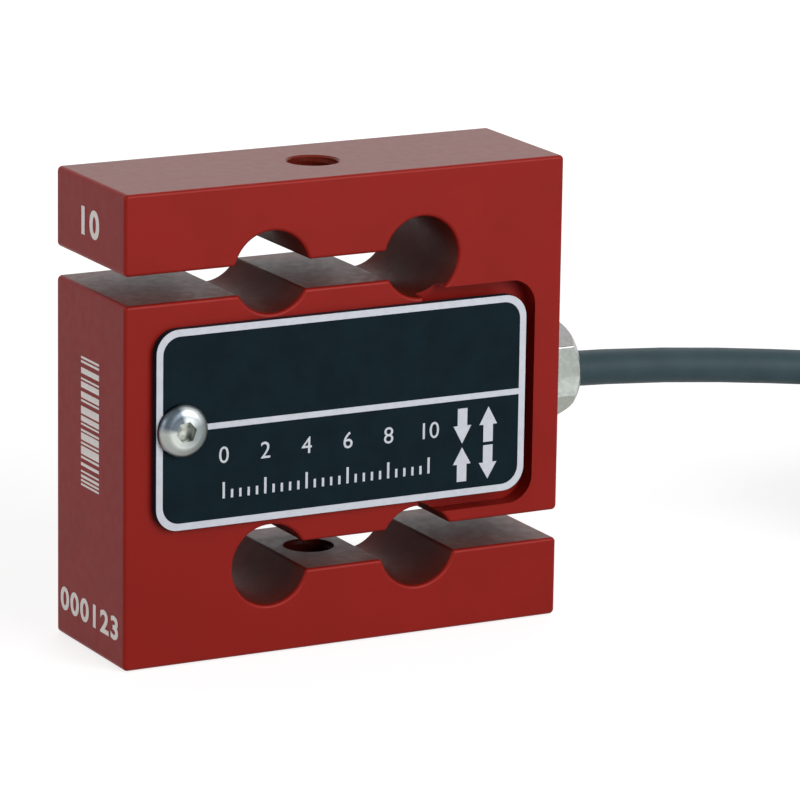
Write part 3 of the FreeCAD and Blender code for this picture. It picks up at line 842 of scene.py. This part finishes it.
def core_end(key, turn):
    """One stripped core, fanned out on the floor, and its tinned strand."""
    a = math.radians(turn)
    dy, dz = CORE_RING * math.cos(a), CORE_RING * math.sin(a)
    x, y, z = TAIL_END[0], TAIL_END[1] + dy, TAIL_END[2] + dz
    fan = FAN * dy + FAN_SHIFT
    low = 0.5 * CORE_D
    bend = Vector((x + STRIP_BEND * STRIP_L, y + 0.5 * fan, 0.5 * (z + low)))
    tip = Vector((x + STRIP_L, y + fan, low))
    along = (tip - bend).normalized()
    cut = tip - along * STRAND_L
    way = [(x - CORE_IN, y, z), (x + STRIP_STRAIGHT * STRIP_L, y, z), bend, cut]
    core = nurbs("core_end_" + key, way, CORE_D, CORE_PAINT[key], CORE_SIDES, CORE_STEPS)
    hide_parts("bare_core_" + key)
    strand = nurbs("strand_" + key, [cut - along * STRAND_IN, tip - along * STRAND_SHORT], STRAND_D, TINNED,
                   CORE_SIDES, STRAND_STEPS)
    return [core, strand]


def signal_cable():
    """The cable with its hank, and the stripped cores at its free end."""
    cable = nurbs("signal_cable", ROUTE + hank_points() + [TAIL_END], CABLE_D, JACKET,
                  CABLE_SIDES, CABLE_STEPS)
    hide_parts("cable", "cable_hank")
    ends = []
    for k, key in enumerate(CORE_COLORS):
        ends += core_end(key, 90.0 - 360.0 * k / len(CORE_COLORS))


def stage_floor():
    """Pale floor that keeps the object's shadow, and glows to what sees it as the background does."""
    corners = rectangle(-FLOOR_HALF, FLOOR_HALF, -FLOOR_HALF, FLOOR_HALF)
    mesh = bpy.data.meshes.new("floor")
    mesh.from_pydata([(x, y, -FLOOR_DROP) for x, y in corners], [], [(0, 1, 2, 3)])
    material = bpy.data.materials.new("floor")
    material.use_nodes = True
    mesh.materials.append(material)
    nodes = Nodes(material.node_tree)
    nodes.tree.nodes.clear()
    diffuse = nodes.add("ShaderNodeBsdfDiffuse", Color=(FLOOR_GREY, FLOOR_GREY, FLOOR_GREY, 1.0))
    away = nodes.add("ShaderNodeVectorMath", "LENGTH")
    nodes.link(nodes.object_place(), away.inputs["Vector"])
    glow = nodes.add("ShaderNodeEmission")
    nodes.link(nodes.span(away.outputs["Value"], *FLOOR_PALE, *FLOOR_FADE), glow.inputs["Color"])
    nodes.link(nodes.seen_share(0.0, 1.0), glow.inputs["Strength"])
    both = nodes.add("ShaderNodeAddShader")
    nodes.link(diffuse.outputs["BSDF"], both.inputs[0])
    nodes.link(glow.outputs["Emission"], both.inputs[1])
    nodes.link(both.outputs["Shader"], nodes.add("ShaderNodeOutputMaterial").inputs["Surface"])
    in_scene("floor", mesh)


def world():
    """White to what sees it, and dim as a light on the object."""
    sky = bpy.data.worlds.new("studio")
    bpy.context.scene.world = sky
    sky.use_nodes = True
    nodes = Nodes(sky.node_tree)
    back = nodes.tree.nodes["Background"]
    sockets(back, Color=(1.0, 1.0, 1.0, 1.0))
    nodes.link(nodes.seen_share(WORLD_DIM, 1.0), back.inputs["Strength"])


def lamp(name, place, side, power):
    data = bpy.data.lights.new(name, "AREA")
    data.shape = "SQUARE"
    data.size = side
    data.energy = power
    obj = in_scene(name, data)
    obj.location = place
    obj.rotation_euler = (Vector(LAMP_AIM) - Vector(place)).to_track_quat("-Z", "Y").to_euler()


def camera():
    az, el, roll = (math.radians(v) for v in (CAM_AZIMUTH, CAM_ELEVATION, CAM_ROLL))
    back = Vector((math.sin(az) * math.cos(el), -math.cos(az) * math.cos(el), math.sin(el)))
    right = Vector((math.cos(az), math.sin(az), 0.0))
    up = back.cross(right)
    across = right * math.cos(roll) + up * math.sin(roll)
    upward = up * math.cos(roll) - right * math.sin(roll)
    turn = Matrix((across, upward, back)).transposed().to_4x4()
    data = bpy.data.cameras.new("camera")
    data.sensor_width = CAM_SENSOR
    data.lens = CAM_LENS
    data.clip_start, data.clip_end = CAM_CLIP
    obj = in_scene("camera", data)
    obj.matrix_world = Matrix.Translation(CAM_TARGET + back * CAM_DISTANCE) @ turn
    bpy.context.scene.camera = obj


paint_nodes()
plate_marks()
side_marks()
thread_turns("upper_thread_turns", BLOCK_H - ARM_H, BLOCK_H, RED_CUT_PAINTED_SHADE)
thread_turns("lower_thread_turns", 0.0, ARM_H, RED_THREAD_PAINTED_SHADE)
signal_cable()
stage_floor()
world()
for name, (place, side, power) in LAMPS.items():
    lamp(name, place, side, power)
camera()
bpy.context.scene.view_settings.view_transform = "Standard"
